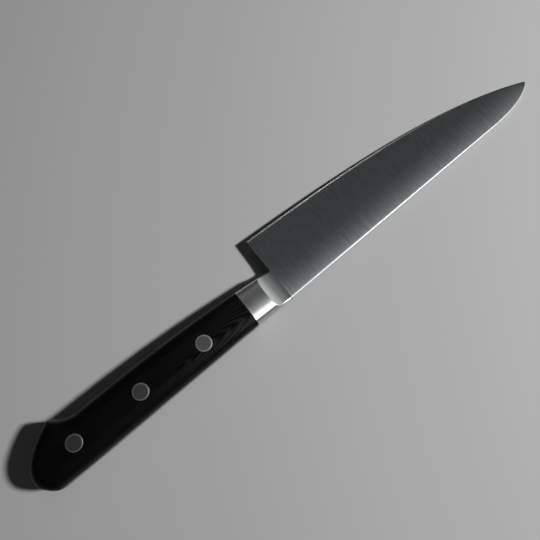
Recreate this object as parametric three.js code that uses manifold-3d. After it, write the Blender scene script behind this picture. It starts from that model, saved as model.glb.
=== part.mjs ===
// A petty knife with a 150 mm blade: a blade and full tang ground from one steel blank, a pair of
// bolster halves, a pair of black handle scales and three two-part rivets.
//
// Millimetres. X runs from the butt to the tip, with 0 at the heel of the blade. +Y is the side of the
// cutting edge, with 0 on the line of the rivets. +Z is the left face, with 0 in the middle of the steel.
import * as THREE from "three";
import { mergeVertices } from "three/addons/utils/BufferGeometryUtils.js";
import Module from "manifold-3d";

const wasm = await Module();
wasm.setup();

// Blade
const BLADE_LENGTH = 150.8; // heel to tip
const HEEL_DROP = 24.6; // rivet line to the heel
const SPINE_RISE = 6.5; // rivet line to the spine above the heel
const TIP_DROP = 6.5; // rivet line to the tip
const EDGE_FLAT = 57.5; // reach of the nearly straight edge from the heel
const EDGE_LIFT = 0.6; // how far that stretch lifts
const BELLY_REACH = 38.6; // reach of the belly back from the tip
const BELLY_DROP = 15.7; // how far the belly hangs below the tip
const SPINE_FALL = 5; // fall of the straight spine from the heel to where it turns
const TIP_TURN = 28.6; // length of the spine's turn down to the tip
const TIP_TURN_HOLD = 19.6; // how long the turn keeps the spine's line
const TIP_TURN_DIVE = 2.4; // how close to the tip the turn gets steep
const STEEL = 2; // thickness of the blank, and so of the tang
const TIP_STEEL = 0.7; // thickness of the spine at the tip
const EDGE_STEEL = 0.3; // thickness behind the sharpened bevel
const BEVEL = 0.9; // width of the sharpened bevel
const HONING = 0.03; // what sharpening takes off the blank's outline
const GRIND_SWELL = 1.25; // 1 is a flat grind, more is a convex one
const SPINE_EASE = 0.25; // broken corner along the spine
const PLUNGE = 5; // length over which the neck runs out into the ground face
const HEEL_BLEND = 5; // the same, down the heel from the neck

// Choil and neck
const CHOIL_SETBACK = 0.2; // foot of the choil behind the heel
const CHOIL_RADIUS = 1.2; // corner between the choil and the neck
const NECK_DROP = 8.15; // rivet line to the underside of the neck at the choil

// Bolster
const BOLSTER_LENGTH = 17.8; // rear face to front lip
const BOLSTER_FLAT = 9.6; // rear face to the crest of the front curve
const BOLSTER_THICKNESS = 11.4; // over both halves at the lip's line
const BOLSTER_LIP = 0.15; // feather edge where the front curve meets the neck

// Handle outline
const HANDLE_LENGTH = 101.5; // butt to bolster
const FRONT_DROP = 9.3; // rivet line to the underside at the bolster
const FRONT_RISE = 6.9; // rivet line to the back at the bolster
const GRIP_DROP = 11.2; // fullness of the underside in front of the waist
const WAIST_DROP = 9.55; // rivet line to the hollow in front of the beak
const WAIST_FROM_BUTT = 26.05;
const BEAK_DROP = 13.95; // rivet line to the point of the beak
const BEAK_FROM_BUTT = 15.55;
const BACK_RISE = 10.15; // rivet line to the back above the butt
const BACK_FROM_BUTT = 6.9; // length of the round corner of the back
const BUTT_FLAT = 2.2; // straight part of the butt's end
const BUTT_LEVEL = -2.25; // its middle from the rivet line

// Handle section
const HANDLE_THICKNESS = 15.2; // over both scales at the flat pads
const PAD_FROM_BUTT = 16; // start of the flat pad
const PAD_FROM_BOLSTER = 42; // its end
const BUTT_THINNING = 0.9; // each scale, from the pad to the butt
const FACET = 2.75; // width of the sloping facet along both sides
const FACET_FALL = 0.8; // how far it falls across that width, at the pads
const FACET_SWELL = 0.55; // 1 is a flat facet, less is a fuller one
const FLANK = 1.95; // width of the rounding from the facet down to the side wall
const SIDE_WALL = 0.5; // straight side between the tang and that rounding
const BUTT_ROUND = 4.5; // rounding of the butt's end
const BUTT_FACE = 1.2; // straight end between the side wall and the butt's rounding

// Rivets
const RIVET_FROM_BUTT = 20.4; // rear rivet
const RIVET_FROM_BOLSTER = 21.8; // front rivet, with the middle one halfway
const RIVET_HEAD = 6.6; // diameters
const RIVET_TUBE = 4.6;
const RIVET_PIN = 3;
const RIVET_HEAD_DEPTH = 2; // head seat below the scale's face
const RIVET_CROWN = 1.2; // metal above the tube's bore, below the seat
const RIVET_END_GAP = 0.3; // tube to pin head, and pin to bore's end
const RIVET_FIT = 0.05; // clearance all round

// Fullness of the outline curves: shares of the stretch that each curve covers
const BUTT_RISE = 0.26; // how far the butt stays upright below the beak
const BEAK_BACK_RUN = 0.46; // where the slope behind the beak begins
const BEAK_BACK_RISE = 0.77; // how high it begins
const BEAK_NOSE = 0.08; // roundness of the beak's point
const BEAK_HOLLOW = 0.35; // depth of the hollow in front of it
const GRIP_START = 0.26; // where the grip swells out of the hollow
const GRIP_START_SWELL = 0.53; // how much it has swelled there
const GRIP_FULL = 0.61; // where the grip is fullest
const BACK_CORNER_RISE = 0.2; // roundness of the back's corner, along the butt
const BACK_CORNER_RUN = 0.55; // the same, along the back
const BACK_HOLD = 0.27; // how long the back keeps its height from the butt
const BACK_HOLD_FALL = 0.19; // how much it falls meanwhile
const BACK_EASE = 0.71; // where the back eases into the bolster's line
const BACK_EASE_FALL = 0.79; // how much it has fallen there

// Limits where a section gets narrow: shares of its width
const ROUND_LIMIT = 0.45; // each side's facet and rounding, at the butt
const BEVEL_LIMIT = 0.35; // bevel, at the tip
const EASE_LIMIT = 0.1; // broken spine corner, at the tip

// Facets
const BUTT_STEPS = 6;
const BEAK_STEP = 0.8;
const GRIP_STEP = 6;
const FACET_STEPS = 3;
const FLANK_STEPS = 4;
const BLADE_STEP = 6;
const TIP_STEP = 1.5;
const ARC_STEPS = 10;
const TURNED_SIDES = 28;
const FACE_SHARES = [0.1, 0.3, 0.5, 0.7, 0.85, 1]; // spine to bevel
const HALVINGS = 40; // for finding a curve's height at x
const WELD = 1e-4; // corners closer than this are one
const SPARE = 10; // how far a cutting block reaches past what it cuts
const PAST = 1; // how far a skin runs past its cut end

// Places along X that follow from the sizes
const lipX = -CHOIL_SETBACK;
const rearX = lipX - BOLSTER_LENGTH;
const buttX = rearX - HANDLE_LENGTH;
const beakX = buttX + BEAK_FROM_BUTT;
const waistX = buttX + WAIST_FROM_BUTT;
const turnX = BLADE_LENGTH - TIP_TURN;
const spineSlope = SPINE_FALL / turnX;
const tangHalf = STEEL / 2;
const wallTop = tangHalf + SIDE_WALL;
const padHalf = HANDLE_THICKNESS / 2;
const padStart = buttX + PAD_FROM_BUTT;
const padEnd = rearX - PAD_FROM_BOLSTER;

const xy = (x, y) => new THREE.Vector2(x, y);
const cubic = (...ends) => new THREE.CubicBezierCurve(...ends);
const line = (from, to) => new THREE.LineCurve(from, to);
const mix = (from, to, share) => from + (to - from) * share;

// Outline curves, each running in +X
const butt = {
  under: xy(buttX, BUTT_LEVEL + BUTT_FLAT / 2),
  back: xy(buttX, BUTT_LEVEL - BUTT_FLAT / 2),
};
const beak = xy(beakX, BEAK_DROP);
const waist = xy(waistX, WAIST_DROP);
const frontUnder = xy(rearX, FRONT_DROP);
const frontBack = xy(rearX, -FRONT_RISE);
const backTop = xy(buttX + BACK_FROM_BUTT, -BACK_RISE);
const tip = xy(BLADE_LENGTH, TIP_DROP);
const spineTurn = xy(turnX, SPINE_FALL - SPINE_RISE);

const underCurves = [
  cubic(butt.under, xy(buttX, mix(butt.under.y, BEAK_DROP, BUTT_RISE)),
    xy(mix(buttX, beakX, BEAK_BACK_RUN), mix(butt.under.y, BEAK_DROP, BEAK_BACK_RISE)), beak),
  cubic(beak, xy(mix(beakX, waistX, BEAK_NOSE), BEAK_DROP),
    xy(mix(beakX, waistX, BEAK_HOLLOW), WAIST_DROP), waist),
  cubic(waist, xy(mix(waistX, rearX, GRIP_START), mix(WAIST_DROP, GRIP_DROP, GRIP_START_SWELL)),
    xy(mix(waistX, rearX, GRIP_FULL), GRIP_DROP), frontUnder),
  line(frontUnder, xy(lipX, NECK_DROP)),
];
const backCurves = [
  cubic(butt.back, xy(buttX, mix(butt.back.y, -BACK_RISE, BACK_CORNER_RISE)),
    xy(mix(buttX, backTop.x, BACK_CORNER_RUN), -BACK_RISE), backTop),
  cubic(backTop, xy(mix(backTop.x, rearX, BACK_HOLD), mix(-BACK_RISE, -FRONT_RISE, BACK_HOLD_FALL)),
    xy(mix(backTop.x, rearX, BACK_EASE), mix(-BACK_RISE, -FRONT_RISE, BACK_EASE_FALL)), frontBack),
  line(frontBack, xy(0, -SPINE_RISE)),
  line(xy(0, -SPINE_RISE), spineTurn),
  cubic(spineTurn, xy(turnX + TIP_TURN_HOLD, spineTurn.y + spineSlope * TIP_TURN_HOLD),
    xy(BLADE_LENGTH - TIP_TURN_DIVE, TIP_DROP - TIP_TURN_DIVE), tip),
];
const edgeCurves = [
  cubic(xy(0, HEEL_DROP), xy(EDGE_FLAT, HEEL_DROP - EDGE_LIFT),
    xy(BLADE_LENGTH - BELLY_REACH, TIP_DROP + BELLY_DROP), tip),
];

// Height of a row of curves at x, found by halving because each curve only ever runs forward in X.
function heightAt(curves, x) {
  const last = curves[curves.length - 1];
  const curve = curves.find((c) => c.getPoint(1).x >= x) ?? last;
  let low = 0;
  let high = 1;
  for (let i = 0; i < HALVINGS; i++) {
    const middle = (low + high) / 2;
    if (curve.getPoint(middle).x < x) low = middle;
    else high = middle;
  }
  return curve.getPoint(high).y;
}
const underAt = (x) => (x > lipX ? NECK_DROP : heightAt(underCurves, x));
const backAt = (x) => heightAt(backCurves, x);
const edgeAt = (x) => heightAt(edgeCurves, Math.max(x, 0));

// Steps from one place to another, both ends included, each about `step` long.
function steps(from, to, step) {
  const count = Math.max(1, Math.round((to - from) / step));
  return Array.from({ length: count + 1 }, (_, i) => mix(from, to, i / count));
}

// Half thickness of the handle and bolster along X.
const ease = (t) => t * t * (3 - 2 * t);
function halfThickness(x) {
  if (x > padEnd) {
    const share = ease(Math.min(1, (x - padEnd) / (lipX - padEnd)));
    return mix(padHalf, BOLSTER_THICKNESS / 2, share);
  }
  if (x >= padStart) return padHalf;
  const thinned = padHalf - BUTT_THINNING * ((padStart - x) / PAD_FROM_BUTT) ** 2;
  const inward = Math.min(1, (x - buttX) / BUTT_ROUND);
  const end = wallTop + BUTT_FACE;
  return mix(end, thinned, Math.sqrt(1 - (1 - inward) ** 2));
}

// Solids
function solid(geometry) {
  const bare = geometry.index ? geometry.toNonIndexed() : geometry.clone();
  bare.deleteAttribute("normal");
  bare.deleteAttribute("uv");
  const merged = mergeVertices(bare, WELD);
  const vertProperties = new Float32Array(merged.attributes.position.array);
  const triVerts = new Uint32Array(merged.index.array);
  return new wasm.Manifold(new wasm.Mesh({ numProp: 3, vertProperties, triVerts }));
}

function meshOf(name, body, material) {
  const made = body.getMesh();
  const geometry = new THREE.BufferGeometry();
  geometry.setAttribute("position", new THREE.BufferAttribute(made.vertProperties, 3));
  geometry.setIndex(new THREE.BufferAttribute(made.triVerts, 1));
  geometry.computeVertexNormals();
  const mesh = new THREE.Mesh(geometry, material);
  mesh.name = name;
  return mesh;
}

// A skin over rings of equal length, with a flat lid on the first ring and on the last.
function loft(rings) {
  const size = rings[0].length;
  const index = [];
  for (let r = 0; r + 1 < rings.length; r++) {
    for (let k = 0; k < size; k++) {
      const a = r * size + k;
      const b = r * size + ((k + 1) % size);
      index.push(a, b, a + size, b, b + size, a + size);
    }
  }
  const end = (rings.length - 1) * size;
  for (let k = 1; k + 1 < size; k++) {
    index.push(0, k + 1, k);
    index.push(end, end + k, end + k + 1);
  }
  const geometry = new THREE.BufferGeometry();
  geometry.setAttribute("position", new THREE.Float32BufferAttribute(rings.flat(2), 3));
  geometry.setIndex(index);
  return solid(geometry);
}

function block(from, to) {
  const size = new THREE.Vector3().subVectors(to, from);
  const geometry = new THREE.BoxGeometry(size.x, size.y, size.z);
  const middle = new THREE.Vector3().addVectors(from, to).multiplyScalar(0.5);
  return solid(geometry.translate(middle.x, middle.y, middle.z));
}

// A round piece about the Z axis through (x, 0), from a profile of [radius, z] that starts and ends
// on the axis.
function turned(x, profile) {
  const geometry = new THREE.LatheGeometry(profile.map(([r, z]) => xy(r, z)), TURNED_SIDES);
  return solid(geometry.rotateX(Math.PI / 2).translate(x, 0, 0));
}

// The handle's rounded outer form, from the butt to just past the bolster's lip.
const quarter = (count) => steps(0, Math.PI / 2, Math.PI / 2 / count);
const buttSteps = quarter(BUTT_STEPS).map((turn) => buttX + BUTT_ROUND * (1 - Math.cos(turn)));
const handleXs = [
  ...buttSteps,
  ...steps(buttX + BUTT_ROUND, waistX, BEAK_STEP).slice(1),
  ...steps(waistX, rearX, GRIP_STEP).slice(1),
];
const bolsterXs = steps(rearX, lipX, GRIP_STEP / 2).slice(1);

// One side of the section as [inset, z]: a rounding up from the side wall, then a facet up to the pad.
function sideProfile(width, half) {
  const narrowing = Math.min(1, (width * ROUND_LIMIT) / (FACET + FLANK));
  const facet = FACET * narrowing;
  const flank = FLANK * narrowing;
  const fall = FACET_FALL * ((half - wallTop) / (padHalf - wallTop));
  const arris = half - fall;
  const slope = (fall * (2 - FACET_SWELL)) / facet; // of the facet at the arris
  const rounding = new THREE.QuadraticBezierCurve(
    xy(0, wallTop), xy(0, arris - slope * flank), xy(flank, arris));
  const sloped = steps(0, 1, 1 / FACET_STEPS).slice(1).map((share) => {
    const out = 1 - share;
    return [flank + facet * share, half - fall * out * mix(out, 1, FACET_SWELL)];
  });
  return [...rounding.getPoints(FLANK_STEPS).map((p) => [p.x, p.y]), ...sloped];
}

function handleRing(x) {
  const back = backAt(x);
  const under = underAt(x);
  const half = halfThickness(x);
  const upper = sideProfile(under - back, half);
  const left = [
    ...upper.map(([inset, z]) => [x, under - inset, z]),
    ...upper.toReversed().map(([inset, z]) => [x, back + inset, z]),
  ];
  return [...left, ...left.toReversed().map(([, y, z]) => [x, y, -z])];
}
const handleForm = loft([...handleXs, ...bolsterXs, lipX + PAST].map(handleRing));

// Blade and tang: a blank cut to outline, then ground on both faces.
const tipXs = steps(turnX, BLADE_LENGTH, TIP_STEP);
const bladeXs = [...steps(0, turnX, BLADE_STEP), ...tipXs.slice(1)];

function choilCorner() {
  const centre = xy(lipX - CHOIL_RADIUS, NECK_DROP + CHOIL_RADIUS);
  return quarter(ARC_STEPS).map((turn) => {
    return xy(centre.x + CHOIL_RADIUS * Math.sin(turn), centre.y - CHOIL_RADIUS * Math.cos(turn));
  });
}

function blank() {
  const outline = [
    ...handleXs.map((x) => xy(x, backAt(x))),
    ...bladeXs.map((x) => xy(x, backAt(x))),
    ...bladeXs.toReversed().slice(1).map((x) => xy(x, edgeAt(x))),
    ...choilCorner().toReversed(),
    ...handleXs.toReversed().map((x) => xy(x, underAt(x))),
  ];
  const sheet = { depth: STEEL, bevelEnabled: false };
  const geometry = new THREE.ExtrudeGeometry(new THREE.Shape(outline), sheet);
  return solid(geometry.translate(0, 0, -tangHalf));
}

// Half thickness of the ground blade at a share of the way from spine to bevel.
function groundHalf(x, share) {
  const along = Math.max(0, (x - lipX) / (BLADE_LENGTH - lipX));
  const spineHalf = mix(tangHalf, TIP_STEEL / 2, along);
  return mix(spineHalf, EDGE_STEEL / 2, share ** GRIND_SWELL);
}

// The same with the neck's full thickness running out into it in front of the bolster.
function faceHalf(x, y, share) {
  const ground = groundHalf(x, share);
  const fade = Math.max(0, 1 - Math.max(0, x - lipX) / PLUNGE) ** 2;
  const fall = ease(Math.min(1, Math.max(0, (y - NECK_DROP) / HEEL_BLEND)));
  return mix(ground, tangHalf, fade * (1 - fall));
}

// The stock that grinding takes off one face: its near side is the finished face, with the bevel and
// the broken spine corner.
function grindRing(x) {
  const inside = Math.min(x, BLADE_LENGTH - TIP_STEP / 2);
  const back = backAt(inside);
  const edge = edgeAt(inside) - HONING;
  const height = edge - back;
  const shoulder = edge - Math.min(BEVEL, height * BEVEL_LIMIT);
  const corner = Math.min(SPINE_EASE, height * EASE_LIMIT);
  const skin = FACE_SHARES.map((share) => {
    const y = mix(back + corner, shoulder, share);
    return [y, faceHalf(inside, y, share)];
  });
  const spineHalf = faceHalf(inside, back, 0);
  const steepness = EDGE_STEEL / 2 / (edge - shoulder);
  const clear = x < lipX ? SPINE_EASE : 0; // behind the lip the block stays off the neck
  const profile = [
    [back - corner, spineHalf - 2 * corner],
    [back + corner, spineHalf],
    ...skin,
    [edge + PAST, -steepness * PAST],
  ];
  const near = profile.map(([y, z]) => [x, y, z + clear]);
  return [...near, [x, edge + PAST, SPARE], [x, back - corner, SPARE]];
}

function grindings() {
  const plungeXs = steps(lipX, lipX + PLUNGE, PLUNGE / ARC_STEPS);
  const faceXs = bladeXs.filter((x) => x > lipX + PLUNGE + TIP_STEP / 2);
  const xs = [lipX - PAST, ...plungeXs, ...faceXs, BLADE_LENGTH + PAST];
  const left = xs.map(grindRing);
  const right = left.map((ring) => ring.map(([x, y, z]) => [x, y, -z]).toReversed());
  return [loft(left), loft(right)];
}

// Rivets: a headed tube from the left and a headed pin from the right, ground flush with the scales.
const rearRivetX = buttX + RIVET_FROM_BUTT;
const frontRivetX = rearX - RIVET_FROM_BOLSTER;
const rivets = [
  { name: "rear", x: rearRivetX },
  { name: "middle", x: (rearRivetX + frontRivetX) / 2 },
  { name: "front", x: frontRivetX },
].map((rivet) => ({ ...rivet, seat: halfThickness(rivet.x) - RIVET_HEAD_DEPTH }));

function rivetTube({ x, seat }) {
  const head = RIVET_HEAD / 2;
  const tube = RIVET_TUBE / 2;
  const bore = RIVET_PIN / 2 + RIVET_FIT;
  const mouth = -seat + RIVET_END_GAP;
  const boreEnd = seat - RIVET_CROWN;
  const profile = [[0, boreEnd], [bore, boreEnd], [bore, mouth], [tube, mouth],
    [tube, seat], [head, seat], [head, seat + SPARE], [0, seat + SPARE]];
  return turned(x, profile).intersect(handleForm);
}

function rivetPin({ x, seat }) {
  const head = RIVET_HEAD / 2;
  const pin = RIVET_PIN / 2;
  const pinEnd = seat - RIVET_CROWN - RIVET_END_GAP;
  const profile = [[0, -seat - SPARE], [head, -seat - SPARE], [head, -seat], [pin, -seat],
    [pin, pinEnd], [0, pinEnd]];
  return turned(x, profile).intersect(handleForm);
}

// The hole for a whole rivet: a passage for the tube and a seat for each head.
function rivetHole({ x, seat }) {
  const head = RIVET_HEAD / 2 + RIVET_FIT;
  const tube = RIVET_TUBE / 2 + RIVET_FIT;
  const profile = [[0, -seat - SPARE], [head, -seat - SPARE], [head, -seat], [tube, -seat],
    [tube, seat], [head, seat], [head, seat + SPARE], [0, seat + SPARE]];
  return turned(x, profile);
}

function drilled(body) {
  return rivets.reduce((rest, rivet) => rest.subtract(rivetHole(rivet)), body);
}

function blade() {
  const ground = grindings().reduce((rest, stock) => rest.subtract(stock), blank());
  return drilled(ground);
}

// One scale, on the left face for side 1 and on the right for side -1.
function scale(side) {
  const [low, high] = side > 0 ? [tangHalf, padHalf + SPARE] : [-padHalf - SPARE, -tangHalf];
  const from = new THREE.Vector3(buttX - SPARE, -BACK_RISE - SPARE, low);
  const to = new THREE.Vector3(rearX, BEAK_DROP + SPARE, high);
  return drilled(handleForm.intersect(block(from, to)));
}

// One bolster half: the handle's form, hollowed in front by an arc that runs out along the neck.
function bolster(side) {
  const lipZ = tangHalf + BOLSTER_LIP;
  const crestX = rearX + BOLSTER_FLAT;
  const run = lipX - crestX;
  const rise = halfThickness(crestX) - lipZ;
  const radius = (run * run + rise * rise) / (2 * rise);
  const sweep = Math.acos(1 - (rise + PAST / 2) / radius);
  const arc = steps(0, sweep, sweep / ARC_STEPS).map((turn) => {
    return xy(lipX - radius * Math.sin(turn), lipZ + radius * (1 - Math.cos(turn)));
  });
  const top = padHalf + SPARE;
  const front = [...arc, xy(arc[ARC_STEPS].x, top)];
  const profile = [xy(rearX, tangHalf), xy(lipX, tangHalf), ...front, xy(rearX, top)];
  const shape = new THREE.Shape(profile.map((p) => xy(p.x, p.y * side)));
  const width = BEAK_DROP + BACK_RISE + 2 * SPARE;
  const geometry = new THREE.ExtrudeGeometry(shape, { depth: width, bevelEnabled: false });
  geometry.rotateX(Math.PI / 2).translate(0, BEAK_DROP + SPARE, 0);
  return handleForm.intersect(solid(geometry));
}

const steel = () => new THREE.MeshStandardMaterial({ color: 0x83868a, roughness: 0.34, metalness: 1 });
const brightSteel = () => new THREE.MeshStandardMaterial({ color: 0xb9babc, roughness: 0.2, metalness: 1 });
const blackWood = () => new THREE.MeshStandardMaterial({ color: 0x0b0b0d, roughness: 0.22, metalness: 0 });
const rivetMetal = () => new THREE.MeshStandardMaterial({ color: 0x8e8c8a, roughness: 0.3, metalness: 1 });

const knife = new THREE.Group();
knife.add(meshOf("blade_with_tang", blade(), steel()));
knife.add(meshOf("bolster_left", bolster(1), brightSteel()));
knife.add(meshOf("bolster_right", bolster(-1), brightSteel()));
knife.add(meshOf("handle_scale_left", scale(1), blackWood()));
knife.add(meshOf("handle_scale_right", scale(-1), blackWood()));
for (const rivet of rivets) {
  knife.add(meshOf(`${rivet.name}_rivet_tube`, rivetTube(rivet), rivetMetal()));
  knife.add(meshOf(`${rivet.name}_rivet_pin`, rivetPin(rivet), rivetMetal()));
}

// The part's own frame: the knife lies on its right face, with the origin under the middle of its box.
const box = new THREE.Box3().setFromObject(knife);
const middle = box.getCenter(new THREE.Vector3());
knife.position.set(-middle.x, -middle.y, -box.min.z);
const part = new THREE.Group();
part.add(knife);

export default part;
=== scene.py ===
import functools
import math

import bmesh
import bpy
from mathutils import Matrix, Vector


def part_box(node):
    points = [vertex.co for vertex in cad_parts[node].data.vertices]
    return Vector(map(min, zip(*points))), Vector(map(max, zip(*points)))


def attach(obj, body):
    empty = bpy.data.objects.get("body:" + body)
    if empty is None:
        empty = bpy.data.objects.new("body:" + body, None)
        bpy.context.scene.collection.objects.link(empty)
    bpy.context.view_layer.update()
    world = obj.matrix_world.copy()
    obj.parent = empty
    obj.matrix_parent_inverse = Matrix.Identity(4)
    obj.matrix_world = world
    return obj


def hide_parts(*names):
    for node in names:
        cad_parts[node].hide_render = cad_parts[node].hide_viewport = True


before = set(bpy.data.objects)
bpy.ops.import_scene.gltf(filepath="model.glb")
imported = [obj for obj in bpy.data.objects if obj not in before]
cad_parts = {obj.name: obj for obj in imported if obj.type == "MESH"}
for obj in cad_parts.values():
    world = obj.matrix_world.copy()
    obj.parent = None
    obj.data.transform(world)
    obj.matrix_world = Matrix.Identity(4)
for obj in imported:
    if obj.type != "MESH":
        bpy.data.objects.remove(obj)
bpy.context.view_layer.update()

MM = 0.001  # every size below is in metres

# Blade
BLADE_LENGTH = 150.8 * MM  # heel to tip
HEEL_DROP = 24.56 * MM  # rivet line to the sharpened heel
SPINE_RISE = 6.5 * MM  # rivet line to the spine above the heel
TIP_DROP = 6.5 * MM  # rivet line to the tip
EDGE_FLAT = 57.5 * MM  # reach of the nearly straight edge from the heel
EDGE_LIFT = 0.6 * MM  # how far that stretch lifts
BELLY_REACH = 38.6 * MM  # reach of the belly back from the tip
BELLY_DROP = 15.7 * MM  # how far the belly hangs below the tip
SPINE_FALL = 5 * MM  # fall of the straight spine to where it turns
TIP_TURN = 28.6 * MM  # length of the spine's turn down to the tip
TIP_TURN_HOLD = 19.6 * MM  # how long the turn keeps the spine's line
TIP_TURN_DIVE = 2.4 * MM  # how close to the tip the turn gets steep
TIP_STEEL = 0.7 * MM  # thickness of the spine towards the tip
TIP_POINT = 0.2  # half thickness of the point, as a share of its height
EDGE_STEEL = 0.22 * MM  # thickness behind the sharpened bevel
BEVEL = 0.6 * MM  # width of the sharpened bevel
BEVEL_LIMIT = 0.35  # the most that it takes of the blade's height, at the tip
GRIND_SWELL = 1.25  # 1 is a flat grind, more is a convex one
SPINE_EASE = 0.4 * MM  # rounded corner along the spine
TIP_EASE = 0.35  # what is left of it at the tip, as a share
EASE_LIMIT = 0.1  # the most that it takes of the steel's height
SPINE_ROLL = 0.84 * MM  # relief of the finish, which falls away towards the spine
SPINE_ROLL_REACH = 13 * MM  # width over which it does
PLUNGE = 5 * MM  # length over which the neck runs out into the ground face
HEEL_BLEND = 5 * MM  # the same, down the heel from the neck
CHOIL_RADIUS = 1.2 * MM  # corner between the choil and the neck
NECK_DROP = 8.15 * MM  # rivet line to the underside of the neck

# Bolster
BOLSTER_FLAT = 9.6 * MM  # rear face to the crest of the front curve
BOLSTER_THICKNESS = 11.4 * MM  # over both halves at the lip's line
BOLSTER_LIP = 0.02 * MM  # feather edge where the front curve meets the neck
CREST_EASE = 0.45 * MM  # broken edge along the crest
FRONT_EASE = 0.55 * MM  # rounded corner of the front curve along both sides
BOLSTER_CROWN = 0.18 * MM  # how far its flat falls away towards both sides
CROWN_RUN = 12 * MM  # the stretch of the scale over which the crown comes up
FRONT_SLOPE = 0.07  # slope at which the front curve runs out on the neck
FRONT_POWER = 2.8  # 1 is a straight slope, more is a hollower one
LIP_FADE = 2.6 * MM  # stretch over which its polish fades into the blade's at the lip

# Handle
FRONT_DROP = 9.3 * MM  # rivet line to the underside at the bolster
FRONT_RISE = 6.9 * MM  # rivet line to the back at the bolster
GRIP_DROP = 11.2 * MM  # fullness of the underside in front of the waist
WAIST_DROP = 9.55 * MM  # rivet line to the hollow in front of the beak
WAIST_FROM_BUTT = 26.05 * MM
BEAK_DROP = 13.95 * MM  # rivet line to the point of the beak
BEAK_FROM_BUTT = 15.55 * MM
BACK_RISE = 10.15 * MM  # rivet line to the back above the butt
BACK_FROM_BUTT = 6.9 * MM  # length of the round corner of the back
BUTT_FLAT = 2.2 * MM  # straight part of the butt's end
BUTT_LEVEL = -2.25 * MM  # its middle from the rivet line
PAD_FROM_BUTT = 16 * MM  # start of the flat pad
PAD_FROM_BOLSTER = 42 * MM  # its end
BUTT_THINNING = 0.9 * MM  # each scale, from the pad to the butt
FACET = 2.75 * MM  # width of the facet along both sides of the flat
FACET_FALL = 0.8 * MM  # how far it falls
FACET_SWELL = 0.55  # 1 is a flat facet, less is a rounder one
FLANK = 0.53  # width of the round from the facet down to the side, as a share of its height
ROUND_LIMIT = 0.45  # the most that facet and round take on each side, as a share of the width
SIDE_WALL = 0.5 * MM  # straight side between the tang and the rounding
BUTT_ROUND = 4.5 * MM  # rounding of the butt's end
BUTT_FACE = 1.2 * MM  # straight end between the side wall and that rounding

# Fullness of the handle's curves: shares of the stretch that each curve covers
BUTT_RISE = 0.26  # how far the butt stays upright below the beak
BEAK_BACK_RUN = 0.46  # where the slope behind the beak begins
BEAK_BACK_RISE = 0.77  # how high it begins
BEAK_NOSE = 0.08  # roundness of the beak's point
BEAK_HOLLOW = 0.35  # depth of the hollow in front of it
GRIP_START = 0.26  # where the grip swells out of the hollow
GRIP_START_SWELL = 0.53  # how much it has swelled there
GRIP_FULL = 0.61  # where the grip is fullest
BACK_CORNER_RISE = 0.2  # roundness of the back's corner, along the butt
BACK_CORNER_RUN = 0.55  # the same, along the back
BACK_HOLD = 0.27  # how long the back keeps its height from the butt
BACK_HOLD_FALL = 0.19  # how much it falls meanwhile
BACK_EASE = 0.71  # where the back eases into the bolster's line
BACK_EASE_FALL = 0.79  # how much it has fallen there

# Rivets
RIVET_HEAD = 6.6 * MM  # diameters
RIVET_TUBE = 4.6 * MM
RIVET_PIN = 3 * MM
RIVET_HEAD_DEPTH = 2 * MM  # head seat below the scale's face
RIVET_CROWN = 1.2 * MM  # metal above the tube's bore, below the seat
RIVET_GAP = 0.3 * MM  # tube to pin head, and pin to bore's end
RIVET_FIT = 0.05 * MM  # clearance all round
RIVET_RIM = 0.1 * MM  # rounded rim of a head
RIVET_PROUD = 0.03 * MM  # the softer scale is polished this far below the heads

# Where the knife lies in the frame: x from the heel, y from the rivet line, z from the steel's middle
blade_low, blade_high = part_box("blade_with_tang")
scale_low, scale_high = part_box("handle_scale_left")
STEEL_HALF = (blade_high.z - blade_low.z) / 2
HEEL = Vector((blade_high.x - BLADE_LENGTH, blade_low.y + BACK_RISE, blade_low.z + STEEL_HALF))
BUTT_X = scale_low.x - HEEL.x
REAR_X = scale_high.x - HEEL.x
LIP_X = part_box("bolster_left")[1].x - HEEL.x
PAD_HALF = scale_high.z - HEEL.z
WALL_TOP = STEEL_HALF + SIDE_WALL
BUTT_END = BUTT_X + BUTT_ROUND
BEAK_X = BUTT_X + BEAK_FROM_BUTT
WAIST_X = BUTT_X + WAIST_FROM_BUTT
TURN_X = BLADE_LENGTH - TIP_TURN
PAD_START = BUTT_X + PAD_FROM_BUTT
PAD_END = REAR_X - PAD_FROM_BOLSTER
CREST_X = REAR_X + BOLSTER_FLAT

# Belt lines in the metal
LINE_DEPTH = 0.01 * MM
LINE_DETAIL = 3
LINE_ROUGHNESS = 0.6
PATCH_SCALE = 0.11  # broad patches of the finish, against the lines
PATCH_DETAIL = 4
NOISE_LOW = 0.3  # noise seldom leaves the stretch from here
NOISE_HIGH = 0.7  # to here
LIP_COLOUR = (0.36, 0.375, 0.385)  # the bolster's steel at the lip

# Finish of the rivets
RIVET_LINES = (120, 4200, 4200)  # lines in a metre along the knife, across it and up
RIVET_RELIEF = 0.1
RIVET_DARK = (0.19, 0.186, 0.182)
RIVET_LIGHT = (0.23, 0.226, 0.22)
RIVET_ROUGHNESS = 0.43
# Painted highlight: each head's rim is painted lighter and made rougher, in place of the gleam along its
# edge
HIGHLIGHT_RIM = 0.5 * MM  # width of the rim painted lighter, a painted highlight
HIGHLIGHT_RIM_FULL = 0.4 * MM  # the same, where the painted highlight is full
HIGHLIGHT_RIM_COLOUR = (0.4, 0.395, 0.39)
HIGHLIGHT_RIM_ROUGHNESS = 0.5

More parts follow.
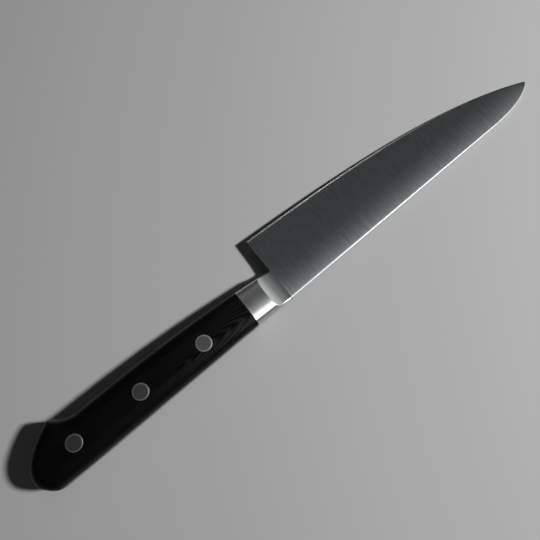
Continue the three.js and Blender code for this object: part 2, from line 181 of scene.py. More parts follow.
# Figure of the wood
RING_SPACING = 0.8 * MM  # growth rings across the grain
WAVE_RATE = 20  # angle through which the wave texture goes in one unit, at a scale of 1
RING_SCALE = 2 * math.pi / WAVE_RATE / RING_SPACING
RING_WANDER = 2.5  # how far the rings stray
RING_DETAIL = 3
RING_DETAIL_SCALE = 0.6
LOOP_STRETCH = 8  # length of the rings' loops over their width
LOOP_FROM_BOLSTER = 40 * MM  # where the rings start to close in loops
LOOP_LEVEL = -2 * MM  # middle of the loops from the rivet line
LOOP_MIDDLE = Vector((REAR_X - LOOP_FROM_BOLSTER, LOOP_LEVEL, 0)) + HEEL
PORE_LINES = (90, 2600, 2600)  # pores in a metre along the knife, across it and up
PORE_RELIEF = 0.06
PORE_DEPTH = 0.02 * MM
WOOD_DARK = (0.0002, 0.0002, 0.0002)
WOOD_LIGHT = (0.0055, 0.0056, 0.0066)
WOOD_LIGHTENS = (0.24, 0.62)  # stretch of the figure over which the colour does
WOOD_SMOOTH = 0.34
WOOD_ROUGH = 0.56
WOOD_ROUGHENS = (0.1, 0.5)  # stretch of the figure over which the polish does
WOOD_SPECULAR = 0.15

# Table, light and camera
TABLE_SIZE = 6.0
TABLE_COLOUR = (0.44, 0.44, 0.445)
TABLE_ROUGHNESS = 0.8
TABLE_SPECULAR = 0.1
KEY_PLACE = Vector((0.53, -0.415, 0.74))  # on the spine's side, towards the tip
KEY_SIZE = 0.11
KEY_POWER = 11.0  # watts
FILL_PLACE = Vector((0.3, 0.52, 0.8))  # across the knife, on the edge's side
FILL_SIZE = 0.14
FILL_POWER = 0.22  # watts
ROOM_LEVEL = 0.018  # grey of the room all round
CAMERA_PLACE = (-53.55 * MM, -41.04 * MM, 217.69 * MM)
CAMERA_TURN = (15.131, -0.914, -38.42)  # degrees about x, y and z
CAMERA_LENS = 34.67  # focal length in millimetres, as cameras have it
CAMERA_NEAR = 10 * MM  # nothing closer is drawn

# How finely the pieces are drawn
HALVINGS = 40
BUTT_STEPS = 24
BEAK_STEPS = 70
GRIP_STEPS = 60
NECK_STEPS = 8
CHOIL_CORNER_STEPS = 10
CHOIL_STEPS = 16
PLUNGE_STEPS = 16
SPINE_STEPS = 80
TIP_STEPS = 60
FACE_STEPS = 36
BEVEL_STEPS = 4
CORNER_STEPS = 5
TOP_STEPS = 14
FRONT_STEPS = 18
CREST_STEPS = 3
FLANK_STEPS = 14
FACET_STEPS = 10
FLAT_STEPS = 10
FLAT_RIM = 0.015  # share of the flat's width at which it has a first row, to keep its edge crisp
HEAD_STEPS = 6
TURNED_STEPS = 72
SEAM = 0.002 * MM  # corners closer than this are one
SLIVER = SEAM / 10  # an edge shorter than this goes
HEEL_STEP = 2 * SEAM  # from the last section of the choil to the first of the edge
SHARP = math.radians(30)  # edges steeper than this stay crisp
LENGTHWISE = "lengthwise"  # texture map that runs along the knife
SIDE_SQUEEZE = 3  # how much that map narrows the upright sides
TURNED = "turned"  # texture map that holds the distance from a rivet's middle
FROM_SPINE = "from_spine"  # texture map that holds the distance from the spine


def mix(start, end, share):
    return start + (end - start) * share


def ease(share):
    return share * share * (3 - 2 * share)


def clamp(share):
    return min(1.0, max(0.0, share))


def stretch(start, end, count):
    """Places from start to end, both included."""
    return [mix(start, end, i / count) for i in range(count + 1)]


def quarter(count):
    """Angles of a quarter turn."""
    return stretch(0, math.pi / 2, count)


def xy(x, y):
    return Vector((x, y))


# Outlines, as rows of curves that run forward in x
def bezier(points, share):
    """The point at a share of the way along a curve, or along a straight line of two points."""
    while len(points) > 1:
        points = [a.lerp(b, share) for a, b in zip(points, points[1:])]
    return points[0]


def height_at(curves, x):
    """The y of a row of curves at x, found by halving."""
    curve = next((c for c in curves if c[-1].x >= x), curves[-1])
    low, high = 0.0, 1.0
    for _ in range(HALVINGS):
        middle = (low + high) / 2
        if bezier(curve, middle).x < x:
            low = middle
        else:
            high = middle
    return bezier(curve, high).y


def under_curves():
    """Underside of the handle and bolster: beak, hollow, grip and neck."""
    butt = xy(BUTT_X, BUTT_LEVEL + BUTT_FLAT / 2)
    beak = xy(BEAK_X, BEAK_DROP)
    waist = xy(WAIST_X, WAIST_DROP)
    front = xy(REAR_X, FRONT_DROP)
    behind_beak = xy(mix(BUTT_X, BEAK_X, BEAK_BACK_RUN), mix(butt.y, BEAK_DROP, BEAK_BACK_RISE))
    beak_nose = xy(mix(BEAK_X, WAIST_X, BEAK_NOSE), BEAK_DROP)
    beak_hollow = xy(mix(BEAK_X, WAIST_X, BEAK_HOLLOW), WAIST_DROP)
    swell = mix(WAIST_DROP, GRIP_DROP, GRIP_START_SWELL)
    grip_start = xy(mix(WAIST_X, REAR_X, GRIP_START), swell)
    grip_full = xy(mix(WAIST_X, REAR_X, GRIP_FULL), GRIP_DROP)
    return [
        [butt, xy(BUTT_X, mix(butt.y, BEAK_DROP, BUTT_RISE)), behind_beak, beak],
        [beak, beak_nose, beak_hollow, waist],
        [waist, grip_start, grip_full, front],
        [front, xy(LIP_X, NECK_DROP)],
    ]


def back_curves():
    """Back of the handle, then the spine down to the tip."""
    butt = xy(BUTT_X, BUTT_LEVEL - BUTT_FLAT / 2)
    top = xy(BUTT_X + BACK_FROM_BUTT, -BACK_RISE)
    front = xy(REAR_X, -FRONT_RISE)
    spine = xy(0, -SPINE_RISE)
    turn = xy(TURN_X, SPINE_FALL - SPINE_RISE)
    corner_rise = xy(BUTT_X, mix(butt.y, top.y, BACK_CORNER_RISE))
    corner_run = xy(mix(BUTT_X, top.x, BACK_CORNER_RUN), top.y)
    hold = xy(mix(top.x, REAR_X, BACK_HOLD), mix(top.y, front.y, BACK_HOLD_FALL))
    settle = xy(mix(top.x, REAR_X, BACK_EASE), mix(top.y, front.y, BACK_EASE_FALL))
    turn_hold = xy(TURN_X + TIP_TURN_HOLD, mix(spine.y, turn.y, 1 + TIP_TURN_HOLD / TURN_X))
    turn_dive = xy(BLADE_LENGTH - TIP_TURN_DIVE, TIP_DROP - TIP_TURN_DIVE)
    return [
        [butt, corner_rise, corner_run, top],
        [top, hold, settle, front],
        [front, spine],
        [spine, turn],
        [turn, turn_hold, turn_dive, xy(BLADE_LENGTH, TIP_DROP)],
    ]


UNDER = under_curves()
BACK = back_curves()
EDGE = [[
    xy(0, HEEL_DROP),
    xy(EDGE_FLAT, HEEL_DROP - EDGE_LIFT),
    xy(BLADE_LENGTH - BELLY_REACH, TIP_DROP + BELLY_DROP),
    xy(BLADE_LENGTH, TIP_DROP),
]]


@functools.cache
def back_at(x):
    return height_at(BACK, x)


@functools.cache
def under_at(x):
    return height_at(UNDER, x)


@functools.cache
def edge_at(x):
    return height_at(EDGE, max(x, 0))


def lower_at(x):
    """Lower side of the steel: the tang's underside, the choil or the cutting edge."""
    if x >= 0:
        return edge_at(x)
    corner = x - (LIP_X - CHOIL_RADIUS)
    if corner <= 0:
        return under_at(x)
    if x <= LIP_X:
        drop = CHOIL_RADIUS - math.sqrt(max(0, CHOIL_RADIUS ** 2 - corner ** 2))
        return NECK_DROP + drop
    return mix(NECK_DROP + CHOIL_RADIUS, HEEL_DROP, (x - LIP_X) / -LIP_X)


# Sections
def bevel_at(x):
    return min(BEVEL, (edge_at(x) - back_at(x)) * BEVEL_LIMIT)


def face_half(x, y):
    """Half thickness of the steel at a point of its outline."""
    if x <= LIP_X:
        return STEEL_HALF
    back = back_at(x)
    height = edge_at(x) - back
    share = clamp((y - back) / max(height - bevel_at(x), SEAM))
    spine_half = mix(STEEL_HALF, TIP_STEEL / 2, (x - LIP_X) / (BLADE_LENGTH - LIP_X))
    ground = mix(spine_half, EDGE_STEEL / 2, share ** GRIND_SWELL)
    fade = clamp(1 - (x - LIP_X) / PLUNGE) ** 2
    fall = ease(clamp((y - NECK_DROP) / HEEL_BLEND))
    return min(mix(ground, STEEL_HALF, fade * (1 - fall)), TIP_POINT * height)


def spine_corner(x):
    """Width of the rounded corner along the spine."""
    height = lower_at(x) - back_at(x)
    return min(SPINE_EASE * mix(1, TIP_EASE, clamp(x / BLADE_LENGTH)), height * EASE_LIMIT)


def steel_ring(x):
    """Section of the blade or tang, down its left face from the spine and up its right face."""
    back, low = back_at(x), lower_at(x)
    corner = spine_corner(x)
    top = face_half(x, back)
    corner_z = min(corner, top)
    half = [(back, 0)]
    for turn in quarter(CORNER_STEPS):
        half.append((back + corner * (1 - math.cos(turn)), top - corner_z * (1 - math.sin(turn))))
    sharpened = x >= 0
    shoulder = low - (bevel_at(x) if sharpened else corner)
    for share in stretch(0, 1, FACE_STEPS)[1:]:
        y = mix(back + corner, shoulder, share)
        half.append((y, face_half(x, y)))
    foot = half[-1][1]
    foot_z = min(corner, foot)
    for turn in quarter(BEVEL_STEPS)[1:]:
        if sharpened:
            share = turn / (math.pi / 2)
            half.append((mix(shoulder, low, share), foot * (1 - share)))
        else:
            half.append((shoulder + corner * math.sin(turn), foot - foot_z * (1 - math.cos(turn))))
    half.append((low, 0))
    ring = half + [(y, -z) for y, z in reversed(half[1:-1])]
    return [Vector((x, y, z)) for y, z in ring]


def handle_half(x):
    """Half thickness of the handle and bolster."""
    if x > PAD_END:
        return mix(PAD_HALF, BOLSTER_THICKNESS / 2, ease(clamp((x - PAD_END) / (LIP_X - PAD_END))))
    if x >= PAD_START:
        return PAD_HALF
    thinned = PAD_HALF - BUTT_THINNING * ((PAD_START - x) / PAD_FROM_BUTT) ** 2
    inward = clamp((x - BUTT_X) / BUTT_ROUND)
    return mix(WALL_TOP + BUTT_FACE, thinned, math.sqrt(1 - (1 - inward) ** 2))


def side_round(share, top):
    """From the side wall up the flank and over the facet to the flat: (inset, z)."""
    fall = FACET_FALL * (top - WALL_TOP) / (PAD_HALF - WALL_TOP)
    arris = top - fall
    facet, flank = FACET * share, FLANK * (arris - WALL_TOP) * share
    slope = fall * (2 - FACET_SWELL) / facet
    bend = [xy(0, WALL_TOP), xy(0, arris - slope * flank), xy(flank, arris)]
    rise = [tuple(bezier(bend, along)) for along in stretch(0, 1, FLANK_STEPS)]
    for out in stretch(1, 0, FACET_STEPS)[1:]:
        drop = fall * out * mix(out, 1, FACET_SWELL)
        rise.append((flank + facet * (1 - out), top - drop))
    return rise


@functools.cache
def outer_half_ring(x):
    """The handle's left half from the tang up the underside, over the flat and down the back: (y, z)."""
    back, under, half = back_at(x), under_at(x), handle_half(x) - RIVET_PROUD
    share = min(1, (under - back) * ROUND_LIMIT / (FACET + FLANK * (half - WALL_TOP)))
    crown = BOLSTER_CROWN * ease(clamp((x - REAR_X + CROWN_RUN) / CROWN_RUN))
    side = side_round(share, half - crown)
    rise = [(under - inset, z) for inset, z in side]
    fall = [(back + inset, z) for inset, z in reversed(side)]
    flat = [
        (mix(rise[-1][0], fall[0][0], across), half - crown * (2 * across - 1) ** 2)
        for across in [FLAT_RIM, *stretch(0, 1, FLAT_STEPS)[1:-1], 1 - FLAT_RIM]
    ]
    return [(under, STEEL_HALF), *rise, *flat, *fall, (back, STEEL_HALF)]


def front_curve_z(x):
    """Height of the bolster's hollow front at x: it runs out along the neck at the lip."""
    low = STEEL_HALF + BOLSTER_LIP
    run = LIP_X - CREST_X
    hollow = handle_half(CREST_X) - low - FRONT_SLOPE * run
    reach = LIP_X - x
    return low + FRONT_SLOPE * reach + hollow * (reach / run) ** FRONT_POWER


def front_z(x, y):
    """The same with its rounded corners along both sides."""
    inward = clamp(min(y - back_at(x), under_at(x) - y) / FRONT_EASE)
    corner = FRONT_EASE * (1 - math.sqrt(1 - (1 - inward) ** 2))
    return max(STEEL_HALF, front_curve_z(x) - corner)


def crest_x(row):
    """Where the front curve starts on a row of the handle's half ring."""
    low, high = REAR_X, LIP_X
    for _ in range(HALVINGS):
        middle = (low + high) / 2
        y, z = outer_half_ring(middle)[row]
        if front_z(middle, y) > z:
            low = middle
        else:
            high = middle
    return high


# Mesh work
def face_corners(form):
    return [corner for face in form.faces for corner in face.loops]


def rolled_skin(rings):
    """A closed skin: a grid rolled round the knife's length, over rings of equal count."""
    columns, rows = len(rings) - 1, len(rings[0])
    half_grid = 0.5
    form = bmesh.new()
    bmesh.ops.create_grid(form, x_segments=columns, y_segments=rows, size=half_grid)
    for vert in form.verts:
        ring = rings[round((vert.co.x + half_grid) * columns)]
        vert.co = ring[round((vert.co.y + half_grid) * rows) % rows]
    lengthwise = form.loops.layers.uv.new(LENGTHWISE)
    for corner in face_corners(form):
        x, y, z = corner.vert.co
        corner[lengthwise].uv = (x, y + z / SIDE_SQUEEZE)
    bmesh.ops.remove_doubles(form, verts=form.verts, dist=SEAM)
    bmesh.ops.dissolve_degenerate(form, edges=form.edges, dist=SLIVER)
    bmesh.ops.holes_fill(form, edges=[e for e in form.edges if e.is_boundary])
    bmesh.ops.recalc_face_normals(form, faces=form.faces)
    return form


def turned_form(x, profile):
    """A round piece about z through the rivet line at x, from (radius, z) points."""
    form = bmesh.new()
    verts = [form.verts.new((x + radius, 0, z)) for radius, z in profile]
    edges = [form.edges.new(pair) for pair in zip(verts, verts[1:])]
    bmesh.ops.spin(form, geom=verts + edges, cent=(x, 0, 0), axis=(0, 0, 1), angle=2 * math.pi,
                   steps=TURNED_STEPS, use_merge=True)
    bmesh.ops.remove_doubles(form, verts=form.verts, dist=SEAM)
    bmesh.ops.recalc_face_normals(form, faces=form.faces)
    turned = form.loops.layers.uv.new(TURNED)
    for corner in face_corners(form):
        place = corner.vert.co
        corner[turned].uv = (math.hypot(place.x - x, place.y), place.z)
    return form


def mirrored(form):
    """The same form on the right face."""
    bmesh.ops.scale(form, vec=(1, 1, -1), verts=form.verts)
    bmesh.ops.recalc_face_normals(form, faces=form.faces)
    return form


def object_of(name, form):
    """An object with its place in its mesh."""
    bmesh.ops.translate(form, vec=HEEL, verts=form.verts)
    mesh = bpy.data.meshes.new(name)
    form.to_mesh(mesh)
    form.free()
    made = bpy.data.objects.new(name, mesh)
    bpy.context.scene.collection.objects.link(made)
    return made


def drill(made, drills):
    """Cuts the rivet holes."""
    for cutter in drills:
        cut = made.modifiers.new("rivet_hole", "BOOLEAN")
        cut.operation = "DIFFERENCE"
        cut.solver = "EXACT"
        cut.object = cutter
    bpy.context.view_layer.update()
    cut_result = made.evaluated_get(bpy.context.evaluated_depsgraph_get())
    drilled = bpy.data.meshes.new_from_object(cut_result)
    made.modifiers.clear()
    made.data = drilled


def dress(made, node, finishes):
    """Smooth faces with crisp corners, finishes, the root body as parent, and the CAD piece that it
    stands for hidden.
    """
    for finish in finishes:
        made.data.materials.append(finish)
    made.data.shade_smooth()
    made.data.set_sharp_from_angle(angle=SHARP)
    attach(made, "root")
    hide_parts(node)


# What the finishes are made of
def new_node(tree, kind, **constants):
    """A node with constants on its inputs, where _ stands for the space in an input's name."""
    node = tree.nodes.new(kind)
    for label, value in constants.items():
        node.inputs[label.replace("_", " ")].default_value = value
    return node


def new_finish(name):
    finish = bpy.data.materials.new(name)
    finish.use_nodes = True
    return finish, finish.node_tree, finish.node_tree.nodes["Principled BSDF"]


def object_place(tree):
    return tree.nodes.new("ShaderNodeTexCoord").outputs["Object"]


def map_place(tree, texture_map):
    """A place on one of the piece's own texture maps."""
    node = tree.nodes.new("ShaderNodeUVMap")
    node.uv_map = texture_map
    return node.outputs["UV"]


def split(tree, place):
    """The X, Y and Z of a place."""
    node = tree.nodes.new("ShaderNodeSeparateXYZ")
    tree.links.new(place, node.inputs["Vector"])
    return node.outputs


def product(tree, first, second):
    node = tree.nodes.new("ShaderNodeMath")
    node.operation = "MULTIPLY"
    tree.links.new(first, node.inputs[0])
    tree.links.new(second, node.inputs[1])
    return node.outputs["Value"]


def ranged(tree, value, low, high, start=NOISE_LOW, end=NOISE_HIGH):
    """A value between start and end, carried to low and high."""
    node = new_node(tree, "ShaderNodeMapRange", From_Min=start, From_Max=end, To_Min=low, To_Max=high)
    tree.links.new(value, node.inputs["Value"])
    return node.outputs["Result"]


def tinted(tree, value, dark, light, start=NOISE_LOW, end=NOISE_HIGH):
    """A colour from dark to light by a value."""
    node = tree.nodes.new("ShaderNodeValToRGB")
    node.color_ramp.elements[0].position = start
    node.color_ramp.elements[0].color = (*dark, 1)
    node.color_ramp.elements[1].position = end
    node.color_ramp.elements[1].color = (*light, 1)
    tree.links.new(value, node.inputs["Fac"])
    return node.outputs["Color"]


def recoloured(tree, share, colour, other):
    """A colour that gives way to another by a share."""
    node = tree.nodes.new("ShaderNodeMix")
    node.data_type = "RGBA"
    node.inputs["B"].default_value = (*other, 1)
    tree.links.new(share, node.inputs["Factor"])
    tree.links.new(colour, node.inputs["A"])
    return node.outputs["Result"]


def raised(tree, shader, height, strength, distance, sunk=False):
    """Relief on a shader, over any relief that it has."""
    node = new_node(tree, "ShaderNodeBump", Strength=strength, Distance=distance)
    node.invert = sunk
    tree.links.new(height, node.inputs["Height"])
    for link in shader.inputs["Normal"].links:
        tree.links.new(link.from_socket, node.inputs["Normal"])
    tree.links.new(node.outputs["Normal"], shader.inputs["Normal"])


def ground_lines_group():
    """Fine lines and broad patches: noise over a Place that is already drawn out."""
    tree = bpy.data.node_groups.new("ground_lines", "ShaderNodeTree")
    tree.interface.new_socket("Place", in_out="INPUT", socket_type="NodeSocketVector")
    for label in ("Lines", "Patches"):
        tree.interface.new_socket(label, in_out="OUTPUT", socket_type="NodeSocketFloat")
    given = tree.nodes.new("NodeGroupInput")
    made = tree.nodes.new("NodeGroupOutput")
    fine = new_node(tree, "ShaderNodeTexNoise", Scale=1, Detail=LINE_DETAIL, Roughness=LINE_ROUGHNESS)
    broad = new_node(tree, "ShaderNodeTexNoise", Scale=PATCH_SCALE, Detail=PATCH_DETAIL)
    for noise, label in ((fine, "Lines"), (broad, "Patches")):
        tree.links.new(given.outputs["Place"], noise.inputs["Vector"])
        tree.links.new(noise.outputs["Fac"], made.inputs[label])
    return tree


GROUND_LINES = ground_lines_group()


def drawn_lines(tree, lines):
    """The group's Lines and Patches, for so many lines in a metre along, across and up."""
    place = new_node(tree, "ShaderNodeMapping", Scale=lines)
    tree.links.new(object_place(tree), place.inputs["Vector"])
    grain = tree.nodes.new("ShaderNodeGroup")
    grain.node_tree = GROUND_LINES
    tree.links.new(place.outputs["Vector"], grain.inputs["Place"])
    return grain.outputs


# Finishes
def ground_steel(name, lines, dark, light, smooth, rough, relief, spread):
    """Steel with belt lines from dark to light, in smooth and rough patches.

    Lines are counted in a metre along the knife, across it and up.
    Spread is how far the gloss is drawn out along the knife, from 0 to 1.
    """
    finish, tree, shader = new_finish(name)
    shader.inputs["Metallic"].default_value = 1
    shader.inputs["Anisotropic"].default_value = spread
    along = tree.nodes.new("ShaderNodeTangent")
    along.direction_type = "UV_MAP"
    along.uv_map = LENGTHWISE
    tree.links.new(along.outputs["Tangent"], shader.inputs["Tangent"])
    grain = drawn_lines(tree, lines)
    tree.links.new(tinted(tree, grain["Lines"], dark, light), shader.inputs["Base Color"])
    tree.links.new(ranged(tree, grain["Patches"], smooth, rough), shader.inputs["Roughness"])
    raised(tree, shader, grain["Lines"], relief, LINE_DEPTH)
    return finish


def roll_to_spine(finish):
    """Lets a finish fall away towards the spine."""
    tree = finish.node_tree
    from_spine = split(tree, map_place(tree, FROM_SPINE))["X"]
    nearness = ranged(tree, from_spine, 1, 0, 0, SPINE_ROLL_REACH)
    fall = product(tree, nearness, nearness)
    raised(tree, tree.nodes["Principled BSDF"], fall, 1, SPINE_ROLL, sunk=True)


def fade_to_lip(finish):
    """Lets the bolster's polish fade into the blade's at the lip."""
    tree = finish.node_tree
    colour = tree.nodes["Principled BSDF"].inputs["Base Color"]
    lip = LIP_X + HEEL.x
    fade = ranged(tree, split(tree, object_place(tree))["X"], 0, 1, lip - LIP_FADE, lip)
    tree.links.new(recoloured(tree, fade, colour.links[0].from_socket, LIP_COLOUR), colour)


def rivet_steel_and_rim_highlight():
    """Rivet metal, ground flush, with a painted highlight: the rim of each head is painted lighter and
    made rougher.
    """
    finish, tree, shader = new_finish("rivet_steel_and_rim_highlight")
    shader.inputs["Metallic"].default_value = 1
    lines = drawn_lines(tree, RIVET_LINES)["Lines"]
    from_middle = split(tree, map_place(tree, TURNED))["X"]
    highlight_start, highlight_full = RIVET_HEAD / 2 - HIGHLIGHT_RIM, RIVET_HEAD / 2 - HIGHLIGHT_RIM_FULL
    # painted highlight: share of the rim that is painted lighter, from where it starts to where it is
    # full
    rim = ranged(tree, from_middle, 0, 1, highlight_start, highlight_full)
    face = tinted(tree, lines, RIVET_DARK, RIVET_LIGHT)
    roughness = ranged(tree, rim, RIVET_ROUGHNESS, HIGHLIGHT_RIM_ROUGHNESS, 0, 1)
    # the rim's painted highlight, laid over the lines in the base colour
    tree.links.new(recoloured(tree, rim, face, HIGHLIGHT_RIM_COLOUR), shader.inputs["Base Color"])
    tree.links.new(roughness, shader.inputs["Roughness"])
    raised(tree, shader, lines, RIVET_RELIEF, LINE_DEPTH)
    return finish


def growth_rings(tree):
    """Rings that run straight from the butt and close in loops towards the bolster."""
    loops = new_node(tree, "ShaderNodeMapping", Location=LOOP_MIDDLE, Scale=(LOOP_STRETCH, 1, 1))
    loops.vector_type = "TEXTURE"
    tree.links.new(object_place(tree), loops.inputs["Vector"])
    apart = split(tree, loops.outputs["Vector"])
    forward = tree.nodes.new("ShaderNodeMath")
    forward.operation = "MAXIMUM"
    forward.inputs[1].default_value = 0
    tree.links.new(apart["X"], forward.inputs[0])
    joined = tree.nodes.new("ShaderNodeCombineXYZ")
    tree.links.new(forward.outputs["Value"], joined.inputs["X"])
    tree.links.new(apart["Y"], joined.inputs["Y"])
    rings = new_node(tree, "ShaderNodeTexWave", Scale=RING_SCALE, Distortion=RING_WANDER,
                     Detail=RING_DETAIL, Detail_Scale=RING_DETAIL_SCALE)
    rings.wave_type = "RINGS"
    rings.rings_direction = "Z"
    tree.links.new(joined.outputs["Vector"], rings.inputs["Vector"])
    return rings.outputs["Fac"]


def black_wood():
    """Resin-filled wood, dyed black: long pores and the loops of its growth rings under a polish."""
    finish, tree, shader = new_finish("black_wood")
    shader.inputs["Specular IOR Level"].default_value = WOOD_SPECULAR
    pores = drawn_lines(tree, PORE_LINES)["Lines"]
    figure = product(tree, growth_rings(tree), pores)
    colour = tinted(tree, figure, WOOD_DARK, WOOD_LIGHT, *WOOD_LIGHTENS)
    tree.links.new(colour, shader.inputs["Base Color"])
    roughness = ranged(tree, figure, WOOD_SMOOTH, WOOD_ROUGH, *WOOD_ROUGHENS)
    tree.links.new(roughness, shader.inputs["Roughness"])
    raised(tree, shader, pores, PORE_RELIEF, PORE_DEPTH)
    return finish


BLADE_STEEL = ground_steel(
    "blade_steel",
    lines=(3400, 170, 170),
    dark=(0.395, 0.428, 0.436),
    light=(0.585, 0.632, 0.643),
    smooth=0.51,
    rough=0.53,
    relief=0.12,
    spread=0.86,
)
BEVEL_STEEL = ground_steel(
    "bevel_steel",
    lines=(5200, 300, 300),
    dark=(0.60, 0.61, 0.62),
    light=(0.72, 0.73, 0.74),
    smooth=0.27,
    rough=0.31,
    relief=0.1,
    spread=0.8,
)
BOLSTER_STEEL = ground_steel(
    "bolster_steel",
    lines=(3000, 60, 60),
    dark=(0.6, 0.61, 0.615),
    light=(0.76, 0.77, 0.78),
    smooth=0.48,
    rough=0.51,
    relief=0.06,
    spread=0.75,
)
CORNER_STEEL = ground_steel(
    "corner_steel",
    lines=(5200, 300, 300),
    dark=(0.66, 0.66, 0.66),
    light=(0.74, 0.74, 0.74),
    smooth=0.48,
    rough=0.52,
    relief=0.1,
    spread=0,
)
roll_to_spine(BLADE_STEEL)
fade_to_lip(BOLSTER_STEEL)
RIVET_STEEL_AND_RIM_HIGHLIGHT = rivet_steel_and_rim_highlight()
BLACK_WOOD = black_wood()


# Rivets
def rivet_seat(x):
    return handle_half(x) - RIVET_HEAD_DEPTH


def head_profile(x):
    """Rivet head from its seat's edge to its middle."""
    radius, top = RIVET_HEAD / 2, handle_half(x)
    rim = [
        (radius - RIVET_RIM * (1 - math.cos(turn)), top - RIVET_RIM * (1 - math.sin(turn)))
        for turn in quarter(CORNER_STEPS)
    ]
    face = [(r, top) for r in stretch(radius - RIVET_RIM, 0, HEAD_STEPS)[1:]]
    return [(radius, rivet_seat(x)), *rim, *face]


def follow_scale(form, x):
    """Lets a head's face follow the slope of the scale that it is ground flush with."""
    radius = RIVET_HEAD / 2
    slope = (handle_half(x + radius) - handle_half(x - radius)) / RIVET_HEAD
    for vert in form.verts:
        if vert.co.z > rivet_seat(x) + RIVET_HEAD_DEPTH / 2:
            vert.co.z += slope * (vert.co.x - x)


def rivet_tube(x):
    """The left half: a head on a tube, whose blind bore takes the pin."""
    seat = rivet_seat(x)
    bore, tube = RIVET_PIN / 2 + RIVET_FIT, RIVET_TUBE / 2
    bore_end, mouth = seat - RIVET_CROWN, -seat + RIVET_GAP
    shank = [(0, bore_end), (bore, bore_end), (bore, mouth), (tube, mouth), (tube, seat)]
    form = turned_form(x, [*shank, *head_profile(x)])
    follow_scale(form, x)
    return form


def rivet_pin(x):
    """The right half, turned as if it came from the left and then mirrored."""
    seat = rivet_seat(x)
    pin, pin_end = RIVET_PIN / 2, -seat + RIVET_CROWN + RIVET_GAP
    form = turned_form(x, [(0, pin_end), (pin, pin_end), (pin, seat), *head_profile(x)])
    follow_scale(form, x)
    return mirrored(form)


def rivet_hole(x):
    """Room for the tube and both heads, through the whole handle."""
    head, tube = RIVET_HEAD / 2 + RIVET_FIT, RIVET_TUBE / 2 + RIVET_FIT
    seat, far = rivet_seat(x), 2 * PAD_HALF
    profile = [(0, -far), (head, -far), (head, -seat), (tube, -seat), (tube, seat), (head, seat)]
    return turned_form(x, [*profile, (head, far), (0, far)])


# Blade, scales and bolsters
def handle_stations():
    """Where the handle's sections lie: the butt's rounding, the beak and the grip."""
    return [
        *[BUTT_X + BUTT_ROUND * (1 - math.cos(turn)) for turn in quarter(BUTT_STEPS)],
        *stretch(BUTT_END, WAIST_X, BEAK_STEPS)[1:],
        *stretch(WAIST_X, REAR_X, GRIP_STEPS)[1:],
    ]


def steel_stations():
    """Where the steel's sections lie: tang, neck, choil, plunge, straight spine and its turn."""
    corner_start = LIP_X - CHOIL_RADIUS
    plunge_end = LIP_X + PLUNGE
    return [
        *handle_stations(),
        *stretch(REAR_X, corner_start, NECK_STEPS)[1:],
        *[corner_start + CHOIL_RADIUS * math.sin(turn) for turn in quarter(CHOIL_CORNER_STEPS)][1:],
        *stretch(LIP_X, -HEEL_STEP, CHOIL_STEPS)[1:],
        *stretch(0, plunge_end, PLUNGE_STEPS),
        *stretch(plunge_end, TURN_X, SPINE_STEPS)[1:],
        *[TURN_X + TIP_TURN * math.sin(turn) for turn in quarter(TIP_STEPS)][1:],
    ]


def ground_blade(drills):
    """Blade, neck and tang, with a finer finish on the sharpened bevel and the spine's corner."""
    finishes = [BLADE_STEEL, BEVEL_STEEL, CORNER_STEEL]
    form = rolled_skin([steel_ring(x) for x in steel_stations()])
    for face in form.faces:
        x, y, _ = face.calc_center_median()
        if x > 0 and y > edge_at(x) - bevel_at(x):
            face.material_index = finishes.index(BEVEL_STEEL)
        elif y < back_at(x) + spine_corner(x):
            face.material_index = finishes.index(CORNER_STEEL)
    from_spine = form.loops.layers.uv.new(FROM_SPINE)
    for corner in face_corners(form):
        corner[from_spine].uv = (corner.vert.co.y - back_at(corner.vert.co.x), 0)
    made = object_of("ground_blade", form)
    drill(made, drills)
    dress(made, "blade_with_tang", finishes)


def handle_scale(side, drills):
    """One half of the handle, from the tang's face outwards."""
    form = rolled_skin([
        [Vector((x, y, z)) for y, z in outer_half_ring(x)] for x in handle_stations()
    ])
    if side == "right":
        mirrored(form)
    made = object_of(f"{side}_scale", form)
    drill(made, drills)
    dress(made, f"handle_scale_{side}", [BLACK_WOOD])


def eased_crest(form):
    """Breaks the sharp line from the lip over the crest and down to the lip again."""
    clear_x = REAR_X + BOLSTER_FLAT / 2
    clear_z = STEEL_HALF + 2 * BOLSTER_LIP
    crest = [
        edge for edge in form.edges
        if edge.calc_face_angle() > SHARP
        and all(v.co.x > clear_x and v.co.z > clear_z for v in edge.verts)
    ]
    bmesh.ops.bevel(form, geom=crest, offset=CREST_EASE, offset_type="OFFSET", affect="EDGES",
                    segments=CREST_STEPS, profile=0.5, material=-1, clamp_overlap=True)


def bolster(side):
    """The handle's section cut off by the front curve, with a finer finish on its spine-side corner."""
    finishes = [BOLSTER_STEEL, CORNER_STEEL]
    crests = [crest_x(row) for row in range(len(outer_half_ring(REAR_X)))]
    rows = [
        stretch(REAR_X, crest, TOP_STEPS) + stretch(crest, LIP_X, FRONT_STEPS)[1:]
        for crest in crests
    ]
    rings = []
    for xs in zip(*rows):
        points = [(x, *outer_half_ring(x)[row]) for row, x in enumerate(xs)]
        rings.append([Vector((x, y, min(z, front_z(x, y)))) for x, y, z in points])
    form = rolled_skin(rings)
    for face in form.faces:
        x, y, _ = face.calc_center_median()
        on_corner = x > CREST_X and y < back_at(x) + FRONT_EASE
        if on_corner and face.normal.z > math.sin(SHARP):
            face.material_index = finishes.index(CORNER_STEEL)
    eased_crest(form)
    if side == "right":
        mirrored(form)
    made = object_of(f"{side}_bolster", form)
    dress(made, f"bolster_{side}", finishes)


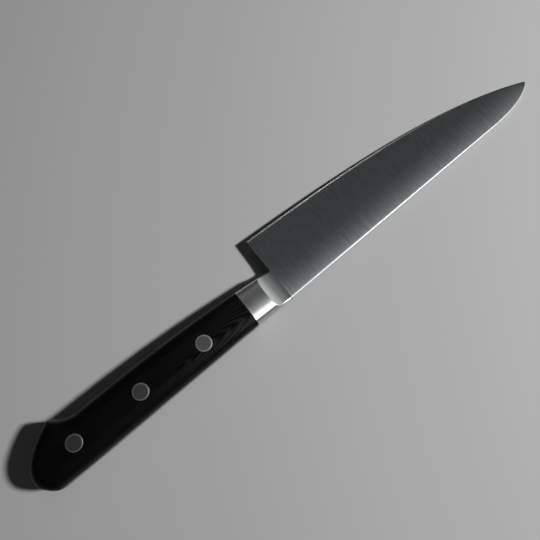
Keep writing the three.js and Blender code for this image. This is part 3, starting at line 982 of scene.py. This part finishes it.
# Table, light and camera
def pale_table():
    """The knife lies on the front end of its pad and on its tip, so the table leans a little."""
    pad = Vector((PAD_END, 0, -PAD_HALF)) + HEEL
    tip = Vector((BLADE_LENGTH, 0, -TIP_STEEL / 2)) + HEEL
    form = bmesh.new()
    bmesh.ops.create_grid(form, x_segments=1, y_segments=1, size=TABLE_SIZE / 2)
    table_mesh = bpy.data.meshes.new("pale_table")
    form.to_mesh(table_mesh)
    form.free()
    table = bpy.data.objects.new("pale_table", table_mesh)
    table.location = pad
    table.rotation_euler.y = -math.atan2(tip.z - pad.z, tip.x - pad.x)
    finish, _, shader = new_finish("pale_table")
    shader.inputs["Roughness"].default_value = TABLE_ROUGHNESS
    shader.inputs["Specular IOR Level"].default_value = TABLE_SPECULAR
    shader.inputs["Base Color"].default_value = (*TABLE_COLOUR, 1)
    table_mesh.materials.append(finish)
    bpy.context.scene.collection.objects.link(table)


def soft_panel(name, place, size, power):
    """A round panel of light that faces the frame's origin, under the middle of the knife."""
    lamp = bpy.data.lights.new(name, "AREA")
    lamp.shape = "DISK"
    lamp.size = size
    lamp.energy = power
    panel = bpy.data.objects.new(name, lamp)
    panel.location = place
    panel.rotation_euler = place.to_track_quat("Z", "Y").to_euler()
    bpy.context.scene.collection.objects.link(panel)


def dim_room():
    world = bpy.data.worlds.new("dim_room")
    world.use_nodes = True
    background = world.node_tree.nodes["Background"]
    background.inputs["Color"].default_value = (ROOM_LEVEL, ROOM_LEVEL, ROOM_LEVEL, 1)
    bpy.context.scene.world = world


def camera():
    lens = bpy.data.cameras.new("camera")
    lens.lens = CAMERA_LENS
    lens.clip_start = CAMERA_NEAR
    made = bpy.data.objects.new("camera", lens)
    made.location = CAMERA_PLACE
    made.rotation_euler = [math.radians(angle) for angle in CAMERA_TURN]
    bpy.context.scene.collection.objects.link(made)
    bpy.context.scene.camera = made


rivet_places = {}
for place in ("rear", "middle", "front"):
    low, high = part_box(f"{place}_rivet_tube")
    rivet_places[place] = (low.x + high.x) / 2 - HEEL.x
drills = [object_of(f"{place}_drill", rivet_hole(x)) for place, x in rivet_places.items()]
ground_blade(drills)
for side in ("left", "right"):
    handle_scale(side, drills)
    bolster(side)
for cutter in drills:
    bpy.data.objects.remove(cutter)
for place, x in rivet_places.items():
    tube = object_of(f"{place}_tube", rivet_tube(x))
    dress(tube, f"{place}_rivet_tube", [RIVET_STEEL_AND_RIM_HIGHLIGHT])
    pin = object_of(f"{place}_pin", rivet_pin(x))
    dress(pin, f"{place}_rivet_pin", [RIVET_STEEL_AND_RIM_HIGHLIGHT])

pale_table()
soft_panel("key_light", KEY_PLACE, KEY_SIZE, KEY_POWER)
soft_panel("fill_light", FILL_PLACE, FILL_SIZE, FILL_POWER)
dim_room()
camera()
bpy.context.scene.view_settings.view_transform = "Standard"
